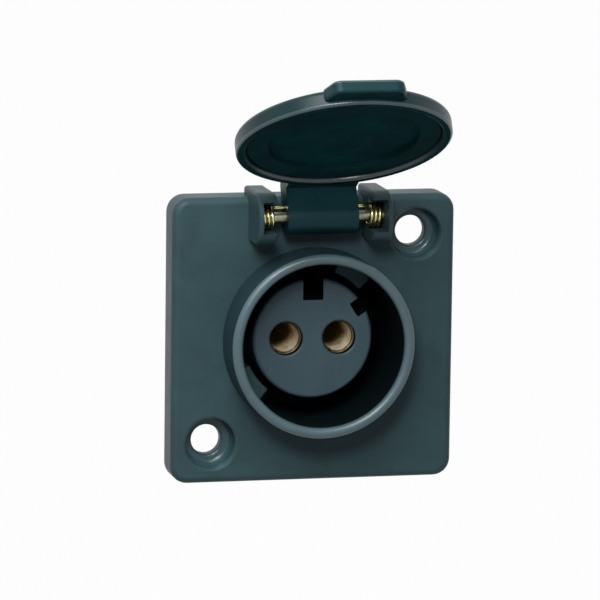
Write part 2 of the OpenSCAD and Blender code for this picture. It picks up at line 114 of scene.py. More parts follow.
# Hinge
PIN_EDGE_DIST = 3.0
PIN_OUT = 3.8
PIN_R = 0.95
PIN_CLEAR = 0.05
PIN_SKIN = 0.3
PIN_INSET = 0.2
EAR_IN = 8.4
EAR_T = 3.4
EAR_ABOVE = 4.6
EAR_BELOW = 4.5
EAR_REACH = 9.0
EAR_ROOT = 4.0
EAR_CORNER = 4.0
EAR_CHEEK = 0.8
KNUCKLE_GAP = 2.2
KNUCKLE_R = 3.0
ARM_BACK = 1.2
ARM_CORNER = 1.8

# Hinge springs
SPRING_WIRE_D = 0.65
SPRING_OD = 4.1
SPRING_TURNS = 3.0
SPRING_STAND = 0.4
SPRING_BEND = 0.8
SPRING_TAIL = 1.4
TAIL_CLEAR = 0.1
POCKET_CLEAR = 0.2
POCKET_RISE = 1.0

# Lid
LID_OPEN = 120.0
LID_GAP = 0.5
LID_RIM = 1.8
LID_OVERLAP = 0.6
LID_DEPTH = 3.2
LID_PLATE = 1.6
GASKET_GAP = 0.1
GASKET_CLEAR = 0.15
GASKET_W = 3.6
TAB_HALF = 5.8
TAB_FLARE = 1.4
TAB_REACH = 2.8
TAB_T = 2.3
TAB_CORNER = 1.2

# Roundings of edges and corners, in millimetres
FLANGE_EDGE = 1.3
RECESS_MOUTH = 0.45
RECESS_FILLET = 1.25
MOUNT_EDGE = 0.6
BACK_CORNER = 1.0
BACK_BOSS_CORNER = 3.0
BARREL_EDGE = 0.4
BARREL_BORE_EDGE = 0.3
LIP_R = 0.88
GROOVE_FILLET = 0.4
LUG_EDGE = 0.35
EAR_EDGE = 0.45
EAR_BACK_CORNER = 0.8
EAR_CUT_EDGE = 0.18
INSERT_EDGE = 0.6
INSERT_TAIL_EDGE = 0.3
SHOULDER_EDGE = 0.2
KEYWAY_CORNER = 0.2
ENTRY_EDGE = 0.5
ENTRY_BACK_EDGE = 0.15
SLEEVE_BORE_EDGE = 0.4
SLEEVE_EDGE = 0.25
STOP_EDGE = 0.2
POST_EDGE = 0.4
WIRE_HOLE_EDGE = 0.3
LID_FLOOR_FILLET = 0.4
LID_INNER_EDGE = 0.65
LID_RIM_EDGE = 0.5
LID_FACE_EDGE = 1.1
TAB_EDGE = 0.5
ARM_EDGE = 0.3
GASKET_EDGE = 0.2
PIN_END_EDGE = 0.25

# Share of a spring pocket's radius that rounds its back corners, and steps in a turn of a coil
POCKET_ROUND = 0.98
TURN_STEPS = 28

# Depths from an edge that bound the painted highlights and painted shades, and the reach of the rim's
# polish, in millimetres
LIP_HIGHLIGHT_REACH = 0.6
ENTRY_SHADE_GAP = 0.2
SLEEVE_SHADE_REACH = 0.35
LID_HIGHLIGHT_REACH = 0.48
RIM_POLISH = 0.2

# Overlap of joined shapes, of those joined to the collar's wall, and of those that only touch
JOIN = 0.5
WALL_JOIN = 0.8
TOUCH_JOIN = 0.02

# Reach of a cut beyond a face, and of a rounded mouth above it
OVER = 1.0
SKIN = 0.001

# How near to a level the middle of a face counts as on it, the same for a flat face among rounded
# ones, and how near two corners are one
NEAR = 0.1
FLAT = 0.02
MERGE = 1e-4

# Angles in degrees past which an edge is rounded by soften, and past which it counts as sharp
ROUNDED_FROM = 35.0
SHARP_FROM = 40.0

# Levels out of the panel, from the flange's back
RIM_Z = FLANGE_T + COLLAR_H
INSERT_FACE_Z = FLANGE_T - INSERT_RECESS
RECESS_FLOOR_Z = FLANGE_T - RECESS_DEPTH
COLLAR_ROOT_Z = FLANGE_T - 2 * OVER
FLOOR_Z = FLANGE_T - GROOVE_DEPTH
LUG_TOP_Z = FLOOR_Z + LUG_H
WEB_BACK_Z = FLOOR_Z - WEB_T
SHOULDER_FRONT_Z = WEB_BACK_Z - SEAL_T
SHOULDER_BACK_Z = SHOULDER_FRONT_Z - SHOULDER_T
BARREL_END_Z = SHOULDER_BACK_Z - CLAMP_T
TAIL_BACK_Z = BARREL_END_Z - INSERT_TAIL
RETAINER_BACK_Z = TAIL_BACK_Z - RETAINER_T
POST_END_Z = RETAINER_BACK_Z - TERMINAL_LEN
TERMINAL_Z = RETAINER_BACK_Z - TERMINAL_LEN / 2
WIRE_HOLE_END_Z = POST_END_Z + WIRE_HOLE_DEPTH
STOP_FRONT_Z = TAIL_BACK_Z + STOP_LEN
CHAMBER_TOP_Z = INSERT_FACE_Z - ENTRY_LIP
SLEEVE_MOUTH_Z = CHAMBER_TOP_Z - SLEEVE_GAP
SLEEVE_BORE_END_Z = SLEEVE_MOUTH_Z - SLEEVE_BORE_DEPTH

# Radii that follow from the sizes
GROOVE_R = COLLAR_R - COLLAR_WALL
BARREL_BORE_R = INSERT_R + REAR_SPACE
INSERT_SCREW_AT = BARREL_BORE_R - HEAD_R - HEAD_CLEAR
SHOULDER_R = INSERT_SCREW_AT - SCREW_R - SCREW_CLEAR
LUG_INNER_R = INSERT_SCREW_AT - SCREW_R - LUG_WALL
SLEEVE_R = SLEEVE_BORE_R + SLEEVE_WALL
CHAMBER_R = SLEEVE_R + RING_SPACE
STOP_R = SLEEVE_R + STOP_W
STOP_SEAT_R = STOP_R + STOP_CLEAR

# Places of the hinge; the left end of the pin is in a blind hole
PIN_UP = FLANGE_W / 2 - PIN_EDGE_DIST
PIN_Z = FLANGE_T + PIN_OUT
EAR_OUT = EAR_IN + EAR_T
EAR_FRONT_Z = FLANGE_T + EAR_REACH
EAR_BACK_Z = FLANGE_T - EAR_ROOT
POCKET_END = EAR_OUT - EAR_CHEEK
POCKET_R = SPRING_OD / 2 + POCKET_CLEAR
PIN_LEFT = EAR_OUT - PIN_SKIN
PIN_RIGHT = EAR_OUT - PIN_INSET
KNUCKLE_HALF = EAR_IN - KNUCKLE_GAP
SPRING_R = (SPRING_OD - SPRING_WIRE_D) / 2
COIL_INNER_X = EAR_IN - SPRING_STAND + SPRING_WIRE_D / 2
COIL_OUTER_X = POCKET_END - POCKET_CLEAR - SPRING_WIRE_D / 2

# Radii of the lid, and its levels above the pin's axis when it is closed
LID_BORE_R = COLLAR_R + LID_GAP
LID_R = LID_BORE_R + LID_RIM
LID_EDGE_Z = RIM_Z - LID_OVERLAP - PIN_Z
LID_FACE_Z = LID_EDGE_Z + LID_DEPTH
LID_FLOOR_Z = LID_FACE_Z - LID_PLATE
GASKET_Z = RIM_Z + GASKET_GAP - PIN_Z
GASKET_R = LID_BORE_R - GASKET_CLEAR
GASKET_BORE_R = GASKET_R - GASKET_W

# Places of a shape drawn in millimetres: on the panel, about the hinge pin with the lid closed, and
# about the middle of the closed lid
ON_PANEL = Matrix.Rotation(math.radians(90), 4, "X") @ Matrix.Scale(MM, 4)
ON_HINGE = (ON_PANEL @ Matrix.Translation((0, PIN_UP, PIN_Z))
            @ Matrix.Rotation(math.radians(-LID_OPEN), 4, "X"))
ON_LID = ON_HINGE @ Matrix.Translation((0, -PIN_UP, 0))

# Turns x, y and z into y, z and x
ACROSS = Matrix(((0, 0, 1), (1, 0, 0), (0, 1, 0)))


# Mesh helpers

def faces_of(geom):
    """The faces in what an operator gives back."""
    return [g for g in geom if isinstance(g, bmesh.types.BMFace)]


def verts_of(geom):
    """The vertices in what an operator gives back."""
    return [g for g in geom if isinstance(g, bmesh.types.BMVert)]


def turn(bm, angle, axis="Z"):
    """Turns a shape by degrees about an axis through the origin."""
    matrix = Matrix.Rotation(math.radians(angle), 3, axis)
    bmesh.ops.rotate(bm, verts=bm.verts, cent=ORIGIN, matrix=matrix)
    return bm


def shift(bm, x=0.0, y=0.0, z=0.0):
    """Moves a shape."""
    bmesh.ops.translate(bm, verts=bm.verts, vec=(x, y, z))
    return bm


def closed(bm):
    """Merges doubles and turns all faces outwards."""
    bmesh.ops.remove_doubles(bm, verts=bm.verts, dist=MERGE)
    bmesh.ops.recalc_face_normals(bm, faces=bm.faces)
    return bm


def outline(points, plane="xy"):
    """A closed wire outline from a few corners, each (a, b) or (a, b, corner radius)."""
    bm = bmesh.new()
    corners, rounded = [], {}
    for a, b, *rounding in points:
        corners.append(bm.verts.new((a, b, 0) if plane == "xy" else (a, 0, b)))
        if any(rounding):
            rounded.setdefault(rounding[0], []).append(corners[-1])
    for start, end in zip(corners, corners[1:] + corners[:1]):
        bm.edges.new((start, end))
    for radius, verts in rounded.items():
        bmesh.ops.bevel(bm, geom=verts, offset=radius, offset_type="OFFSET", segments=7,
                        profile=0.5, affect="VERTICES", material=-1)
    return bm


def turned(points, steps, angle=360.0, start=0.0):
    """A shape turned about z from an outline of (radius, height, corner radius)."""
    bm = turn(outline(points, "xz"), start)
    full = angle >= 360.0
    if not full:
        bmesh.ops.contextual_create(bm, geom=bm.edges[:])
    bmesh.ops.spin(bm, geom=bm.verts[:] + bm.edges[:] + bm.faces[:], cent=ORIGIN, axis=(0, 0, 1),
                   angle=math.radians(angle), steps=steps, use_merge=full)
    return closed(bm)


def rod(radius, start, end, steps):
    """A plain cylinder along z, from one level to another."""
    return turned([(0, start), (radius, start), (radius, end), (0, end)], steps)


def cross_rod(radius, start, end, steps):
    """A plain cylinder along x."""
    return turn(rod(radius, start, end, steps), 90, "Y")


def prism(points, height, base=0.0):
    """An outline of (x, y, corner radius) extruded along z."""
    bm = outline(points)
    face = bmesh.ops.contextual_create(bm, geom=bm.edges[:])["faces"]
    top = bmesh.ops.extrude_face_region(bm, geom=face, use_keep_orig=True)["geom"]
    bmesh.ops.translate(bm, verts=verts_of(top), vec=(0, 0, height))
    return closed(shift(bm, z=base))


def slab(half_x, half_y, height, base=0.0, corner=0.0):
    """A block about the z axis, from half its width each way."""
    return prism([(half_x, half_y, corner), (-half_x, half_y, corner),
                  (-half_x, -half_y, corner), (half_x, -half_y, corner)], height, base)


def across(points, width, centre=0.0):
    """An outline of (y, z, corner radius) extruded along x."""
    bm = prism(points, width, centre - width / 2)
    bmesh.ops.rotate(bm, verts=bm.verts, cent=ORIGIN, matrix=ACROSS)
    return bm


def soften(bm, radius, segments=3):
    """Rounds every sharp edge."""
    limit = math.radians(ROUNDED_FROM)
    edges = [e for e in bm.edges if len(e.link_faces) == 2 and e.calc_face_angle(0) > limit]
    bmesh.ops.bevel(bm, geom=edges, offset=radius, offset_type="OFFSET", segments=segments,
                    profile=0.5, affect="EDGES", material=-1, clamp_overlap=True)
    bmesh.ops.dissolve_degenerate(bm, dist=MERGE, edges=bm.edges)
    return bm


def joined(shapes):
    """Several shapes that do not meet, as one."""
    whole = bmesh.new()
    for bm in shapes:
        part = bpy.data.meshes.new("part")
        bm.to_mesh(part)
        bm.free()
        whole.from_mesh(part)
        bpy.data.meshes.remove(part)
    return whole


def scene_object(name, bm):
    """A shape as an object of the scene."""
    mesh = bpy.data.meshes.new(name)
    bm.to_mesh(mesh)
    bm.free()
    obj = bpy.data.objects.new(name, mesh)
    bpy.context.scene.collection.objects.link(obj)
    return obj


def combine(bm, operation, *shapes):
    """Joins shapes to a body or cuts them out of it, one after the other."""
    body = scene_object("scratch", bm)
    tools = []
    for shape in shapes:
        tools.append(scene_object("scratch", shape))
        mod = body.modifiers.new(operation, "BOOLEAN")
        mod.operation = operation
        mod.solver = "EXACT"
        mod.object = tools[-1]
    depsgraph = bpy.context.evaluated_depsgraph_get()
    result = bpy.data.meshes.new_from_object(body.evaluated_get(depsgraph))
    out = bmesh.new()
    out.from_mesh(result)
    bpy.data.meshes.remove(result)
    for obj in [body] + tools:
        mesh = obj.data
        bpy.data.objects.remove(obj)
        bpy.data.meshes.remove(mesh)
    bmesh.ops.remove_doubles(out, verts=out.verts, dist=MERGE)
    return out


def cut(bm, *shapes):
    """Cuts shapes out of a body, one after the other."""
    return combine(bm, "DIFFERENCE", *shapes)


def finish_faces(bm, finishes, finish, test):
    """Gives faces whose middle passes a test another finish of the piece; the last one given holds."""
    index = finishes.index(finish)
    for face in bm.faces:
        if test(face.calc_center_median()):
            face.material_index = index


def piece(name, bm, place, body, node, finishes, edge=0.0):
    """Makes a shape a piece that rides on a body and replaces a node, in one or more finishes."""
    bmesh.ops.transform(bm, matrix=place, verts=bm.verts)
    obj = scene_object(name, bm)
    obj.data.shade_smooth()
    obj.data.set_sharp_from_angle(angle=math.radians(SHARP_FROM))
    for finish in finishes:
        obj.data.materials.append(finish)
    if edge:
        bevel = obj.modifiers.new("edge", "BEVEL")
        bevel.width = edge * MM
        bevel.segments = 3
        bevel.limit_method = "ANGLE"
        bevel.angle_limit = math.radians(SHARP_FROM)
        bevel.use_clamp_overlap = True
    flat = obj.modifiers.new("flat faces", "WEIGHTED_NORMAL")
    flat.keep_sharp = True
    flat.weight = 100
    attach(obj, body)
    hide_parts(node)


# Material helpers

# How far flow marks and dull patches change the roughness
FLOW_ROUGHNESS = 0.06
DULL_ROUGHNESS = 0.1

# Depth of the relief where a finish's bump is 1, in millimetres
RELIEF_DEPTH = 0.05


def feed(tree, node, inputs):
    """Sets a node's inputs, and links those whose value is another node's socket."""
    for key, value in inputs.items():
        if isinstance(value, bpy.types.NodeSocket):
            tree.links.new(value, node.inputs[key])
        else:
            node.inputs[key].default_value = value


def new_node(tree, kind, inputs=None, **settings):
    """A node with its settings made before its inputs are fed."""
    made = tree.nodes.new(kind)
    for key, value in settings.items():
        setattr(made, key, value)
    feed(tree, made, inputs or {})
    return made


def effect_group(name, inputs):
    """A node group with the given inputs, which puts out a colour, a roughness and a height."""
    group = bpy.data.node_groups.new(name, "ShaderNodeTree")
    for key, value in inputs.items():
        kind = "NodeSocketFloat" if isinstance(value, float) else "NodeSocketColor"
        made = group.interface.new_socket(name=key, in_out="INPUT", socket_type=kind)
        made.default_value = value
    for key, kind in (("Colour", "Color"), ("Roughness", "Float"), ("Height", "Float")):
        group.interface.new_socket(name=key, in_out="OUTPUT", socket_type="NodeSocket" + kind)
    return group


def moulded_grain():
    """Mould texture: fine grain, and flow marks that vary the colour and the polish."""
    group = effect_group("moulded grain", {
        "Colour": (0.5, 0.5, 0.5, 1), "Mottle": 0.1, "Roughness": 0.4, "Grain Size": 2500.0})
    given = group.nodes.new("NodeGroupInput").outputs
    where = new_node(group, "ShaderNodeTexCoord").outputs["Object"]
    flow = new_node(group, "ShaderNodeTexNoise", {
        "Vector": where, "Scale": 130.0, "Detail": 5.0, "Roughness": 0.55, "Distortion": 0.6})
    grain = new_node(group, "ShaderNodeTexNoise", {
        "Vector": where, "Scale": given["Grain Size"], "Detail": 3.0})
    centred = new_node(group, "ShaderNodeMapRange", {
        "Value": flow.outputs["Fac"],
        "From Min": 0.3, "From Max": 0.7, "To Min": -1.0, "To Max": 1.0}).outputs["Result"]
    amount = new_node(group, "ShaderNodeMath", {
        0: centred, 1: given["Mottle"], 2: 1.0}, operation="MULTIPLY_ADD")
    tint = new_node(group, "ShaderNodeVectorMath", {
        0: given["Colour"], "Scale": amount.outputs["Value"]}, operation="SCALE")
    polish = new_node(group, "ShaderNodeMath", {
        0: centred, 1: FLOW_ROUGHNESS, 2: given["Roughness"]}, operation="MULTIPLY_ADD")
    new_node(group, "NodeGroupOutput", {
        "Colour": tint.outputs["Vector"], "Roughness": polish.outputs["Value"],
        "Height": grain.outputs["Fac"]})
    return group


def tarnish_and_depth_shade():
    """Metal dulled in patches, with fine marks, and a painted shade that darkens it from one depth
    along Y to another.
    """
    group = effect_group("tarnish_and_depth_shade", {
        "Bright": (0.8, 0.6, 0.3, 1), "Dull": (0.4, 0.3, 0.15, 1), "Roughness": 0.3,
        "Deep": (0.02, 0.015, 0.01, 1), "Depth Start": 1.0, "Depth End": 2.0})
    given = group.nodes.new("NodeGroupInput").outputs
    where = new_node(group, "ShaderNodeTexCoord").outputs["Object"]
    patches = new_node(group, "ShaderNodeTexNoise", {
        "Vector": where, "Scale": 520.0, "Detail": 4.0})
    dulled = new_node(group, "ShaderNodeMapRange", {
        "Value": patches.outputs["Fac"], "From Min": 0.42, "From Max": 0.68}).outputs["Result"]
    surface = new_node(group, "ShaderNodeMix", {
        "Factor": dulled, "A": given["Bright"], "B": given["Dull"]}, data_type="RGBA")
    along = new_node(group, "ShaderNodeSeparateXYZ", {"Vector": where})
    depth = new_node(group, "ShaderNodeMapRange", {
        "Value": along.outputs["Y"], "From Min": given["Depth Start"],
        "From Max": given["Depth End"]}, interpolation_type="SMOOTHSTEP")
    darkened = new_node(group, "ShaderNodeMix", {
        "Factor": depth.outputs["Result"], "A": surface.outputs["Result"],
        "B": given["Deep"]}, data_type="RGBA")
    roughness = new_node(group, "ShaderNodeMath", {
        0: dulled, 1: DULL_ROUGHNESS, 2: given["Roughness"]}, operation="MULTIPLY_ADD")
    marks = new_node(group, "ShaderNodeTexNoise", {"Vector": where, "Scale": 4200.0})
    new_node(group, "NodeGroupOutput", {
        "Colour": darkened.outputs["Result"], "Roughness": roughness.outputs["Value"],
        "Height": marks.outputs["Fac"]})
    return group


GRAIN = moulded_grain()
TARNISH_AND_DEPTH_SHADE = tarnish_and_depth_shade()


def finish_from(name, group, values, bump, metallic=0.0, specular=0.5):
    """A material that takes its colour, roughness and relief from a shared effect."""
    mat = bpy.data.materials.new(name)
    mat.use_nodes = True
    tree = mat.node_tree
    effect = new_node(tree, "ShaderNodeGroup", node_tree=group)
    feed(tree, effect, values)
    relief = new_node(tree, "ShaderNodeBump", {
        "Height": effect.outputs["Height"], "Strength": bump, "Distance": RELIEF_DEPTH * MM})
    feed(tree, tree.nodes["Principled BSDF"], {
        "Base Color": effect.outputs["Colour"], "Roughness": effect.outputs["Roughness"],
        "Normal": relief.outputs["Normal"], "Metallic": metallic, "Specular IOR Level": specular})
    return mat


def shade(*levels):
    """A colour written as it looks on screen, 0 to 255, made linear by the sRGB curve."""
    shares = [level / 255 for level in levels]
    linear = [s / 12.92 if s <= 0.04045 else ((s + 0.055) / 1.055) ** 2.4 for s in shares]
    return (*linear, 1.0)


def plastic(name, colour, roughness, mottle=0.12, grain=3200.0, bump=0.35, specular=0.5):
    """A moulded plastic or rubber; a larger grain value is a finer grain."""
    values = {"Colour": shade(*colour), "Mottle": mottle, "Roughness": roughness,
              "Grain Size": grain}
    return finish_from(name, GRAIN, values, bump, specular=specular)


def metal(name, bright, dull, roughness, bump=0.12, metallic=1.0, deep=None):
    """A tarnished metal; deep is a painted shade: a darker colour and the depths in mm over which it
    sets in.
    """
    values = {"Bright": shade(*bright), "Dull": shade(*dull), "Roughness": roughness}
    if deep:
        colour, start, end = deep
        values.update({"Deep": shade(*colour), "Depth Start": start * MM, "Depth End": end * MM})
    return finish_from(name, TARNISH_AND_DEPTH_SHADE, values, bump, metallic)


# Finishes of the housing, the insert and the rubber
housing_plastic = plastic("housing plastic", (47, 68, 72), 0.42, specular=0.13)
# A glossier finish in the screw recesses; its lighter colour is painted light on the recess walls
recess_plastic_lightened = plastic("polished recess plastic with painted light", (50, 76, 81), 0.24, bump=0.25, specular=0.26)
# Painted highlight: the lip's lighter colour stands in for the light that the collar's lip catches
lip_highlight_plastic = plastic("lip plastic with painted highlight", (64, 86, 92), 0.36)
# Painted shade: a darker colour on the collar's outer wall, where the hinge and the lid shade it
collar_wall_shade = plastic("collar wall painted shade", (32, 51, 56), 0.45, specular=0.1)
# Painted shade: near-black for the deep groove, the keyways and the walls of the contact entries
groove_shade_plastic = plastic("groove painted shade", (5, 12, 14), 0.6, mottle=0.15, grain=2400.0, bump=0.4,
                         specular=0.05)
insert_plastic = plastic("insert plastic", (58, 77, 85), 0.45, mottle=0.1, grain=2600.0, bump=0.3,
                         specular=0.2)
rubber = plastic("gasket rubber", (12, 44, 46), 0.8, mottle=0.4, grain=1800.0, bump=0.5,
                 specular=0.04)

# Finishes of the lid
lid_plastic = plastic("lid plastic", (10, 46, 51), 0.4, specular=0.14)
rim_plastic = plastic("lid rim plastic", (14, 40, 44), 0.34, mottle=0.2, specular=0.24)
# Painted highlight: a lighter colour along the lid's rim edge and the tab's top edge
lid_edge_highlight = plastic("lid edge painted highlight", (48, 70, 74), 0.28, mottle=0.2, bump=0.3)
lid_bore = plastic("polished lid bore", (26, 46, 50), 0.3, mottle=0.2, bump=0.15, specular=0.6)
lid_lining = plastic("lid lining", (10, 48, 50), 0.8, mottle=0.5, grain=2400.0, bump=0.5,
                     specular=0.04)

# Metal finishes
brass = metal("contact brass", (228, 198, 138), (212, 180, 118), 0.3)
# Painted light and shade in the contact bores: near-white brass near the mouth, darkening to a painted
# shade deeper in
bore_brass_lit_and_shaded = metal("bore brass with painted light and shade", (255, 246, 224), (214, 184, 112), 0.42, metallic=0.35,
                   deep=((138, 120, 44), -1.0, 6.0))
# Painted shade: darker brass on the sleeves' mouths, under the lips of the entries
mouth_brass_shaded = metal("sleeve mouth painted shade", (92, 84, 64), (64, 56, 40), 0.45, bump=0.15)
pin_brass = metal("pin brass", (166, 168, 146), (122, 124, 102), 0.34)
spring_wire = metal("spring wire", (206, 202, 146), (152, 148, 100), 0.26)
steel = metal("screw steel", (186, 188, 190), (168, 170, 172), 0.3, bump=0.15)

# Finishes of the pieces that have more than one
FLANGE_FINISHES = (housing_plastic, recess_plastic_lightened)
COLLAR_FINISHES = (housing_plastic, lip_highlight_plastic, groove_shade_plastic, collar_wall_shade)
INSERT_FINISHES = (insert_plastic, groove_shade_plastic)
CONTACT_FINISHES = (brass, bore_brass_lit_and_shaded, mouth_brass_shaded)
LID_FINISHES = (lid_plastic, lid_lining, lid_edge_highlight, rim_plastic, lid_bore)
TAB_FINISHES = (lid_plastic, lid_lining, lid_edge_highlight)


# Housing

def mount_hole():
    """Cutter of a mounting hole and its screw-head recess, with rounded mouths."""
    top, wide = FLANGE_T + SKIN, RECESS_R + 1.5 * OVER
    return turned([(0, -OVER), (MOUNT_R, -OVER), (MOUNT_R, RECESS_FLOOR_Z, MOUNT_EDGE),
                   (RECESS_R, RECESS_FLOOR_Z, RECESS_FILLET), (RECESS_R, top, RECESS_MOUTH),
                   (wide, top), (wide, top + OVER), (0, top + OVER)], steps=64)


def at_mounts(make):
    """A shape, made once at each of the two mounting holes."""
    return joined(shift(make(), s * MOUNT_AT, s * MOUNT_AT) for s in (-1, 1))


def back_pockets():
    """Cutter of the pockets behind the flange, between rim, barrel, bosses and ribs."""
    half = FLANGE_W / 2 - RIM_WALL
    depth = FLANGE_T - FRONT_WALL
    low, high = -2 * OVER, depth + 2 * OVER
    bm = prism([(half, half, BACK_BOSS_CORNER), (-half, half, BACK_CORNER),
                (-half, -half, BACK_BOSS_CORNER), (half, -half, BACK_CORNER)], depth + OVER, -OVER)
    barrel = rod(BARREL_R + RIM_WALL / 2, low, high, steps=96)
    bosses = at_mounts(lambda: rod(RECESS_R + BOSS_WALL, low, high, steps=48))
    ribs = [turn(slab(FLANGE_W, RIB_T / 2, high - low, low), angle) for angle in RIB_ANGLES]
    return cut(bm, barrel, bosses, *ribs)


def flange():
    """Square flange with rounded corners and front edge, recessed holes and pockets behind."""
    bm = slab(FLANGE_W / 2, FLANGE_W / 2, FLANGE_T, corner=FLANGE_CORNER)
    front = max(bm.faces, key=lambda face: face.normal.z)
    bmesh.ops.bevel(bm, geom=front.edges[:], offset=FLANGE_EDGE, offset_type="OFFSET",
                    segments=6, profile=0.5, affect="EDGES", material=-1)
    bore = rod(COLLAR_R - WALL_JOIN, -2 * OVER, FLANGE_T + 2 * OVER, steps=96)
    bm = cut(bm, bore, at_mounts(mount_hole), back_pockets())
    # Glossier finish with painted light in the screw recesses
    finish_faces(bm, FLANGE_FINISHES, recess_plastic_lightened, lambda at: (
        math.hypot(abs(at.x) - MOUNT_AT, abs(at.y) - MOUNT_AT) < RECESS_R + NEAR
        and at.x * at.y > 0 and RECESS_FLOOR_Z - MOUNT_EDGE - NEAR < at.z < FLANGE_T - NEAR))
    return bm


def collar_and_barrel():
    """Collar with its rounded lip, web and rear barrel, turned as one."""
    bore = INSERT_R + INSERT_CLEAR
    bm = turned([(BARREL_R, BARREL_END_Z, BARREL_EDGE), (BARREL_R, COLLAR_ROOT_Z),
                 (COLLAR_R, COLLAR_ROOT_Z), (COLLAR_R, RIM_Z, LIP_R), (GROOVE_R, RIM_Z, LIP_R),
                 (GROOVE_R, FLOOR_Z, GROOVE_FILLET), (bore, FLOOR_Z), (bore, WEB_BACK_Z),
                 (BARREL_BORE_R, WEB_BACK_Z), (BARREL_BORE_R, BARREL_END_Z, BARREL_BORE_EDGE)],
                steps=144)
    pilots = []
    for _, angle in LUGS:
        pilot = rod(SCREW_R, WEB_BACK_Z - OVER, FLOOR_Z + JOIN, steps=32)
        pilots.append(turn(shift(pilot, INSERT_SCREW_AT), angle))
    bm = cut(bm, joined(pilots))
    lip_z = RIM_Z - LIP_HIGHLIGHT_REACH
    # Painted shade on the collar's outer wall
    finish_faces(bm, COLLAR_FINISHES, collar_wall_shade, lambda at: (
        at.xy.length > COLLAR_R - NEAR and FLANGE_T < at.z < lip_z))
    # Painted highlight on the collar's lip
    finish_faces(bm, COLLAR_FINISHES, lip_highlight_plastic, lambda at: at.z > lip_z)
    # Painted shade in the groove
    finish_faces(bm, COLLAR_FINISHES, groove_shade_plastic, lambda at: (
        at.xy.length < GROOVE_R + NEAR / 2 and FLOOR_Z - NEAR < at.z < RIM_Z - LIP_R))
    return bm


def lug(angle):
    """Screw lug on the floor of the groove."""
    outer, low = GROOVE_R + WALL_JOIN, FLOOR_Z - JOIN
    bm = turned([(LUG_INNER_R, low), (outer, low), (outer, LUG_TOP_Z), (LUG_INNER_R, LUG_TOP_Z)],
                steps=16, angle=LUG_SWEEP, start=angle - LUG_SWEEP / 2)
    return soften(bm, LUG_EDGE)


def spring_pocket(side):
    """Cutter of an ear's spring pocket, round at the back and open to the front and the knuckle."""
    above, below = PIN_UP + POCKET_R, PIN_UP - POCKET_R
    back, front = PIN_Z - POCKET_R, EAR_FRONT_Z + 2 * OVER
    back_corner = POCKET_R * POCKET_ROUND
    width = POCKET_END - EAR_IN + 2 * OVER
    return across([(above, back, back_corner), (above, PIN_Z), (above + POCKET_RISE, PIN_Z),
                   (above + POCKET_RISE, front), (below, front), (below, back, back_corner)],
                  width, side * (POCKET_END - width / 2))


def ear(side):
    """Hinge ear with its spring pocket and pin hole, which is blind in the left ear."""
    top, bottom = PIN_UP + EAR_ABOVE, PIN_UP - EAR_BELOW
    bm = across([(top, EAR_BACK_Z, EAR_BACK_CORNER), (top, EAR_FRONT_Z, EAR_CORNER),
                 (bottom, EAR_FRONT_Z, EAR_CORNER), (bottom, EAR_BACK_Z)],
                EAR_T, side * (EAR_IN + EAR_OUT) / 2)
    soften(bm, EAR_EDGE, segments=4)
    start, end = (-PIN_LEFT, -EAR_IN) if side < 0 else (EAR_IN, EAR_OUT + OVER)
    hole = shift(cross_rod(PIN_R, start, end, steps=32), 0, PIN_UP, PIN_Z)
    return cut(bm, spring_pocket(side), hole)


piece("flange", flange(), ON_PANEL, "socket", "housing", FLANGE_FINISHES)
piece("collar_and_barrel", collar_and_barrel(), ON_PANEL, "socket", "housing", COLLAR_FINISHES)
for label, angle in LUGS:
    piece(label + "_screw_lug", lug(angle), ON_PANEL, "socket", "housing", [housing_plastic])
for label, side in SIDES:
    piece(label + "_hinge_ear", ear(side), ON_PANEL, "socket", "housing", [housing_plastic],
          edge=EAR_CUT_EDGE)


# Contact insert and contacts

def contact_cut():
    """Cutter of one contact opening, chamber and stop seat, with a rounded mouth."""
    low, top, wide = TAIL_BACK_Z - OVER, INSERT_FACE_Z + SKIN, ENTRY_R + 1.5 * OVER
    return turned([(0, low), (STOP_SEAT_R, low), (STOP_SEAT_R, STOP_FRONT_Z),
                   (CHAMBER_R, STOP_FRONT_Z), (CHAMBER_R, CHAMBER_TOP_Z),
                   (ENTRY_R, CHAMBER_TOP_Z, ENTRY_BACK_EDGE), (ENTRY_R, top, ENTRY_EDGE),
                   (wide, top), (wide, top + OVER), (0, top + OVER)], steps=64)


def keyway(width, depth, angle):
    """Cutter of a keyway that opens outwards at an angle."""
    inner, outer, half = INSERT_R - depth, INSERT_R + 2 * OVER, width / 2
    bm = prism([(inner, half, KEYWAY_CORNER), (inner, -half, KEYWAY_CORNER), (outer, -half),
                (outer, half)], INSERT_FACE_Z - FLOOR_Z + 2 * OVER, FLOOR_Z)
    return turn(bm, angle)


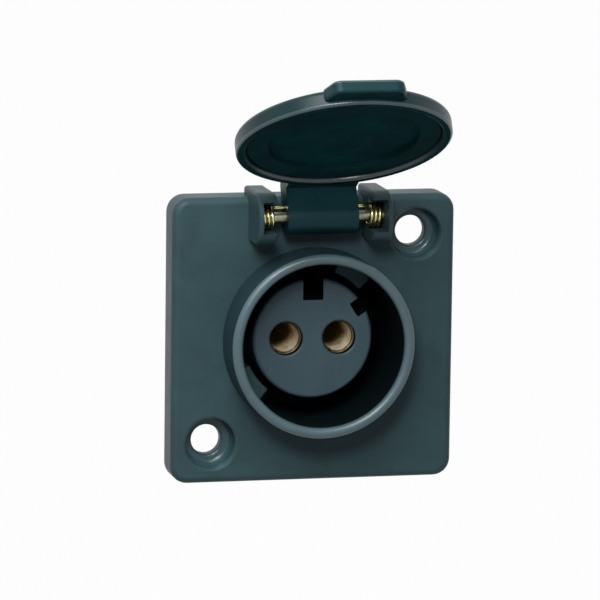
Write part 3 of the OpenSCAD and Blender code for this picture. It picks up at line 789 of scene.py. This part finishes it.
def contact_insert():
    """Round insert with its shoulder, contact openings, keyways and the retainer's screw holes."""
    bm = turned([(0, TAIL_BACK_Z), (INSERT_R, TAIL_BACK_Z, INSERT_TAIL_EDGE),
                 (INSERT_R, SHOULDER_BACK_Z), (SHOULDER_R, SHOULDER_BACK_Z, SHOULDER_EDGE),
                 (SHOULDER_R, SHOULDER_FRONT_Z), (INSERT_R, SHOULDER_FRONT_Z),
                 (INSERT_R, INSERT_FACE_Z, INSERT_EDGE), (0, INSERT_FACE_Z)], steps=128)
    openings = [shift(contact_cut(), side * CONTACT_X) for _, side in SIDES]
    keyways = [keyway(*sizes) for sizes in KEYWAYS]
    pilots = joined(shift(rod(SCREW_R, TAIL_BACK_Z - OVER, TAIL_BACK_Z + SCREW_GRIP, steps=32),
                          0, s * RETAINER_SCREW_Y) for s in (-1, 1))
    bm = cut(bm, *openings, *keyways, pilots)
    # Painted shade in the keyways
    finish_faces(bm, INSERT_FINISHES, groove_shade_plastic, lambda at: (
        at.y > CHAMBER_R + NEAR and at.xy.length < INSERT_R - INSERT_EDGE / 2
        and FLOOR_Z - NEAR < at.z < INSERT_FACE_Z - NEAR))
    # Painted shade on the walls of the contact entries, below their mouths
    finish_faces(bm, INSERT_FINISHES, groove_shade_plastic, lambda at: (
        math.hypot(abs(at.x) - CONTACT_X, at.y) < ENTRY_R + 2 * ENTRY_BACK_EDGE
        and CHAMBER_TOP_Z - NEAR < at.z < INSERT_FACE_Z - ENTRY_SHADE_GAP))
    return bm


def contact(side):
    """Slit brass sleeve with its stop collar and terminal post."""
    bm = turned([(0, SLEEVE_BORE_END_Z), (SLEEVE_BORE_R, SLEEVE_BORE_END_Z),
                 (SLEEVE_BORE_R, SLEEVE_MOUTH_Z, SLEEVE_BORE_EDGE),
                 (SLEEVE_R, SLEEVE_MOUTH_Z, SLEEVE_EDGE), (SLEEVE_R, STOP_FRONT_Z),
                 (STOP_R, STOP_FRONT_Z, STOP_EDGE), (STOP_R, TAIL_BACK_Z, STOP_EDGE),
                 (SLEEVE_R, TAIL_BACK_Z), (SLEEVE_R, POST_END_Z, POST_EDGE),
                 (WIRE_HOLE_R, POST_END_Z, WIRE_HOLE_EDGE), (WIRE_HOLE_R, WIRE_HOLE_END_Z),
                 (0, WIRE_HOLE_END_Z)], steps=64)
    reach = SLEEVE_R + OVER
    slit = slab(reach, SLIT_W / 2, SLIT_LEN + OVER, SLEEVE_MOUTH_Z - SLIT_LEN)
    screw_hole = turn(rod(TERMINAL_SCREW_R, 0, reach, steps=32), -90, "X")
    bm = cut(bm, turn(slit, SLIT_ANGLE), shift(screw_hole, z=TERMINAL_Z))
    # Painted light and shade on the bore walls
    finish_faces(bm, CONTACT_FINISHES, bore_brass_lit_and_shaded, lambda at: (
        at.xy.length < SLEEVE_BORE_R + SLEEVE_SHADE_REACH and at.z > SLEEVE_BORE_END_Z - NEAR))
    # Painted shade on the sleeve's mouth
    finish_faces(bm, CONTACT_FINISHES, mouth_brass_shaded, lambda at: at.z > SLEEVE_MOUTH_Z - SLEEVE_SHADE_REACH)
    return shift(bm, side * CONTACT_X)


piece("contact_insert_body", contact_insert(), ON_PANEL, "socket", "contact_insert",
      INSERT_FINISHES)
for label, side in SIDES:
    piece(label + "_contact_sleeve", contact(side), ON_PANEL, "socket", label + "_contact",
          CONTACT_FINISHES)


# Lid and hinge

def lid_dish():
    """Plate and rim of the lid, lined inside, with a polished bore and a painted highlight along the
    rim's edge.
    """
    bm = turned([(0, LID_FLOOR_Z), (LID_BORE_R, LID_FLOOR_Z, LID_FLOOR_FILLET),
                 (LID_BORE_R, LID_EDGE_Z, LID_INNER_EDGE), (LID_R, LID_EDGE_Z, LID_RIM_EDGE),
                 (LID_R, LID_FACE_Z, LID_FACE_EDGE), (0, LID_FACE_Z)], steps=144)
    edge_z, wall_z = LID_EDGE_Z + FLAT, LID_EDGE_Z + LID_HIGHLIGHT_REACH
    finish_faces(bm, LID_FINISHES, lid_lining, lambda at: (
        at.z < LID_FLOOR_Z + NEAR and at.xy.length < LID_BORE_R + NEAR))
    finish_faces(bm, LID_FINISHES, lid_lining, lambda at: at.z < edge_z)
    # Painted highlight along the rim's edge
    finish_faces(bm, LID_FINISHES, lid_edge_highlight, lambda at: edge_z < at.z < wall_z)
    finish_faces(bm, LID_FINISHES, lid_bore, lambda at: (
        edge_z < at.z < LID_FLOOR_Z - LID_FLOOR_FILLET
        and at.xy.length < LID_BORE_R + LID_INNER_EDGE + NEAR))
    finish_faces(bm, LID_FINISHES, rim_plastic, lambda at: (
        at.xy.length > LID_R - RIM_POLISH and at.z > wall_z))
    return bm


def lift_tab():
    """Tab at the lid's free end, wider at its root, with a painted highlight along its top edge."""
    end, root, root_half = LID_R + TAB_REACH, LID_BORE_R + JOIN, TAB_HALF + TAB_FLARE
    low_z = LID_FACE_Z - TAB_T
    bm = prism([(root_half, -root), (-root_half, -root), (-TAB_HALF, -end, TAB_CORNER),
                (TAB_HALF, -end, TAB_CORNER)], TAB_T, low_z)
    soften(bm, TAB_EDGE, segments=4)
    # Painted highlight along the tab's top edge
    finish_faces(bm, TAB_FINISHES, lid_edge_highlight, lambda at: (
        LID_FACE_Z - LID_HIGHLIGHT_REACH < at.z < LID_FACE_Z - FLAT))
    finish_faces(bm, TAB_FINISHES, lid_lining, lambda at: at.z < low_z + FLAT)
    return bm


def arm():
    """Arm of the lid with its knuckle, bored for the pin and the spring tails."""
    end_y, under_y = LID_BORE_R - PIN_UP + JOIN, TOUCH_JOIN - KNUCKLE_R
    bm = across([(ARM_BACK, 0), (ARM_BACK, LID_FACE_Z, ARM_CORNER), (end_y, LID_FACE_Z),
                 (end_y, LID_EDGE_Z), (under_y, LID_EDGE_Z), (under_y, 0)], 2 * KNUCKLE_HALF)
    knuckle = cross_rod(KNUCKLE_R, -KNUCKLE_HALF, KNUCKLE_HALF, steps=64)
    bm = soften(combine(bm, "UNION", knuckle), ARM_EDGE)
    bore = cross_rod(PIN_R + PIN_CLEAR, -2 * KNUCKLE_HALF, 2 * KNUCKLE_HALF, steps=48)
    depth, hole_r = SPRING_TAIL + SPRING_WIRE_D, SPRING_WIRE_D / 2 + TAIL_CLEAR
    tails = joined(shift(cross_rod(hole_r, -depth, depth, steps=24), s * KNUCKLE_HALF, 0, SPRING_R)
                   for _, s in SIDES)
    return cut(bm, bore, tails)


def gasket():
    """Flat ring that meets the collar's lip when the lid is closed."""
    return turned([(GASKET_BORE_R, GASKET_Z, GASKET_EDGE), (GASKET_R, GASKET_Z, GASKET_EDGE),
                   (GASKET_R, LID_FLOOR_Z), (GASKET_BORE_R, LID_FLOOR_Z)], steps=128)


def hinge_pin():
    """Pin with rounded ends, from ear to ear through the knuckle."""
    bm = turned([(0, -PIN_LEFT), (PIN_R, -PIN_LEFT, PIN_END_EDGE), (PIN_R, PIN_RIGHT, PIN_END_EDGE),
                 (0, PIN_RIGHT)], steps=48)
    return shift(turn(bm, 90, "Y"), 0, PIN_UP, PIN_Z)


def hinge_spring(side):
    """Torsion coil with a tail bent into the knuckle."""
    bend_turn = SPRING_BEND / SPRING_R
    coil_turn = 2 * math.pi * SPRING_TURNS
    coil_steps = round(TURN_STEPS * SPRING_TURNS)
    bm = bmesh.new()
    bmesh.ops.create_circle(bm, segments=12, radius=SPRING_WIRE_D / 2)
    shift(turn(bm, 90, "X"), COIL_OUTER_X, 0, SPRING_R)
    turn(bm, -math.degrees(coil_turn + bend_turn), "X")
    bmesh.ops.contextual_create(bm, geom=bm.edges[:])
    coil = bmesh.ops.spin(bm, geom=bm.faces[:], cent=ORIGIN, axis=(1, 0, 0), angle=coil_turn,
                          steps=coil_steps,
                          dvec=((COIL_INNER_X - COIL_OUTER_X) / coil_steps, 0, 0))
    bend_x = COIL_INNER_X - SPRING_BEND
    centre = (bend_x, SPRING_R * math.sin(bend_turn), SPRING_R * math.cos(bend_turn))
    outwards = (0, math.sin(bend_turn / 2), math.cos(bend_turn / 2))
    bend = bmesh.ops.spin(bm, geom=faces_of(coil["geom_last"]), cent=centre, axis=outwards,
                          angle=math.radians(-90), steps=8)
    tip = bmesh.ops.extrude_face_region(bm, geom=faces_of(bend["geom_last"]))["geom"]
    tail_length = bend_x - (KNUCKLE_HALF - SPRING_TAIL)
    bmesh.ops.translate(bm, verts=verts_of(tip), vec=(-tail_length, 0, 0))
    closed(bm)
    # The bend and the tail each leave the face that they start from inside the wire
    inside = [f for f in bm.faces if all(len(e.link_faces) > 2 for e in f.edges)]
    bmesh.ops.delete(bm, geom=inside, context="FACES_ONLY")
    if side < 0:
        bmesh.ops.scale(bm, verts=bm.verts, vec=(-1, 1, 1))
    return closed(bm)


piece("lid_dish", lid_dish(), ON_LID, "lid", "lid", LID_FINISHES)
piece("lift_tab", lift_tab(), ON_LID, "lid", "lid", TAB_FINISHES)
piece("lid_arm", arm(), ON_HINGE, "lid", "lid", [lid_plastic])
piece("gasket_ring", gasket(), ON_LID, "lid", "lid_gasket", [rubber])
piece("hinge_pin_rod", hinge_pin(), ON_PANEL, "socket", "hinge_pin", [pin_brass])
for label, side in SIDES:
    piece(label + "_spring_coil", hinge_spring(side), ON_HINGE, "lid", label + "_hinge_spring",
          [spring_wire])

# Nodes kept as the CAD made them
KEPT_NODES = {
    "insert_seal": rubber, "clamp_ring": steel, "insert_screws": steel,
    "contact_retainer": insert_plastic, "retainer_screws": steel, "left_contact_spring": steel,
    "right_contact_spring": steel, "terminal_screws": steel}
for node, finish in KEPT_NODES.items():
    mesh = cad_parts[node].data
    mesh.materials.clear()
    mesh.materials.append(finish)


# Floor, light and camera

# Floor and lamps in metres and watts; a lamp has a name, a place, a width and a power
FLOOR_REACH = 6.0
FLOOR_LEVEL = -0.13
FLOOR_COLOUR = (150, 152, 152)
FLOOR_WHITE = 0.98
FILL_COLOUR = (0.93, 0.97, 1.0, 1.0)
FILL_STRENGTH = 0.07
WHITE = (1, 1, 1, 1)
LAMPS = (("key", (-0.155, -0.27, 0.38), 0.35, 2.9), ("front", (-0.11, -0.34, 0.19), 0.08, 0.7))
LAMP_AIM = (0, 0, 0.01)

# Camera in degrees and millimetres, and where the middle of the flange's front lies in the picture:
# the picture's width, that place and the pixels to a millimetre there
CAMERA_YAW = 13.2
CAMERA_PITCH = 9.6
CAMERA_ROLL = 0.74
CAMERA_DISTANCE = 900.0
SENSOR_W = 36.0
PICTURE_W = 600.0
FLANGE_PIXEL = (313.5, 338.7)
PIXELS_PER_MM = 5.77

# Nearest and furthest that the camera sees, in metres
SEEN_FROM = 0.05
SEEN_TO = 50.0


def seen_as_white(tree):
    """A mask that is 1 where the camera, a reflection or glass sees the background."""
    path = new_node(tree, "ShaderNodeLightPath").outputs
    mask = path["Is Camera Ray"]
    for ray in ("Is Glossy Ray", "Is Transmission Ray"):
        either = new_node(tree, "ShaderNodeMath", {0: mask, 1: path[ray]}, operation="MAXIMUM")
        mask = either.outputs["Value"]
    return mask


def floor():
    """Pale floor that keeps the part's shadow and is seen as almost white."""
    bm = bmesh.new()
    bmesh.ops.create_grid(bm, x_segments=1, y_segments=1, size=FLOOR_REACH)
    obj = scene_object("floor", shift(bm, z=FLOOR_LEVEL))
    mat = bpy.data.materials.new("pale floor")
    mat.use_nodes = True
    tree = mat.node_tree
    base = tree.nodes["Principled BSDF"]
    feed(tree, base, {"Base Color": shade(*FLOOR_COLOUR), "Roughness": 0.9})
    glow = new_node(tree, "ShaderNodeEmission", {"Color": WHITE})
    share = new_node(tree, "ShaderNodeMath", {0: seen_as_white(tree), 1: FLOOR_WHITE},
                     operation="MULTIPLY")
    mix = new_node(tree, "ShaderNodeMixShader", {
        "Fac": share.outputs["Value"], 1: base.outputs["BSDF"], 2: glow.outputs["Emission"]})
    feed(tree, tree.nodes["Material Output"], {"Surface": mix.outputs["Shader"]})
    obj.data.materials.append(mat)


def surroundings():
    """Faint fill light from a world that is seen as white."""
    world = bpy.data.worlds.new("studio")
    bpy.context.scene.world = world
    world.use_nodes = True
    tree = world.node_tree
    fill = tree.nodes["Background"]
    feed(tree, fill, {"Color": FILL_COLOUR, "Strength": FILL_STRENGTH})
    seen = new_node(tree, "ShaderNodeBackground", {"Color": WHITE})
    mix = new_node(tree, "ShaderNodeMixShader", {
        "Fac": seen_as_white(tree), 1: fill.outputs["Background"], 2: seen.outputs["Background"]})
    feed(tree, tree.nodes["World Output"], {"Surface": mix.outputs["Shader"]})


def soft_box(name, place, width, power):
    """Square lamp aimed at the part."""
    lamp = bpy.data.lights.new(name, "AREA")
    lamp.shape = "SQUARE"
    lamp.size = width
    lamp.energy = power
    obj = bpy.data.objects.new(name, lamp)
    obj.location = place
    aim = Vector(LAMP_AIM) - Vector(place)
    obj.rotation_euler = aim.to_track_quat("-Z", "Y").to_euler()
    bpy.context.scene.collection.objects.link(obj)


def camera():
    """Long lens a little to the left of the socket and above it, as in the photograph."""
    yaw, pitch, roll = map(math.radians, (CAMERA_YAW, CAMERA_PITCH, CAMERA_ROLL))
    ahead = Vector((math.sin(yaw) * math.cos(pitch), math.cos(yaw) * math.cos(pitch),
                    -math.sin(pitch)))
    level = Vector((math.cos(yaw), -math.sin(yaw), 0))
    upright = level.cross(ahead)
    right = level * math.cos(roll) + upright * math.sin(roll)
    up = upright * math.cos(roll) - level * math.sin(roll)
    aside, below = ((pixel - PICTURE_W / 2) / PIXELS_PER_MM for pixel in FLANGE_PIXEL)
    target = Vector((0, -FLANGE_T, 0)) - right * aside + up * below
    place = Matrix.Translation((target - ahead * CAMERA_DISTANCE) * MM)
    data = bpy.data.cameras.new("camera")
    data.sensor_width = SENSOR_W
    data.lens = SENSOR_W * PIXELS_PER_MM * CAMERA_DISTANCE / PICTURE_W
    data.clip_start = SEEN_FROM
    data.clip_end = SEEN_TO
    obj = bpy.data.objects.new("camera", data)
    obj.matrix_world = place @ Matrix((right, up, -ahead)).transposed().to_4x4()
    bpy.context.scene.collection.objects.link(obj)
    bpy.context.scene.camera = obj


floor()
surroundings()
for lamp in LAMPS:
    soft_box(*lamp)
camera()
bpy.context.scene.view_settings.view_transform = "Standard"
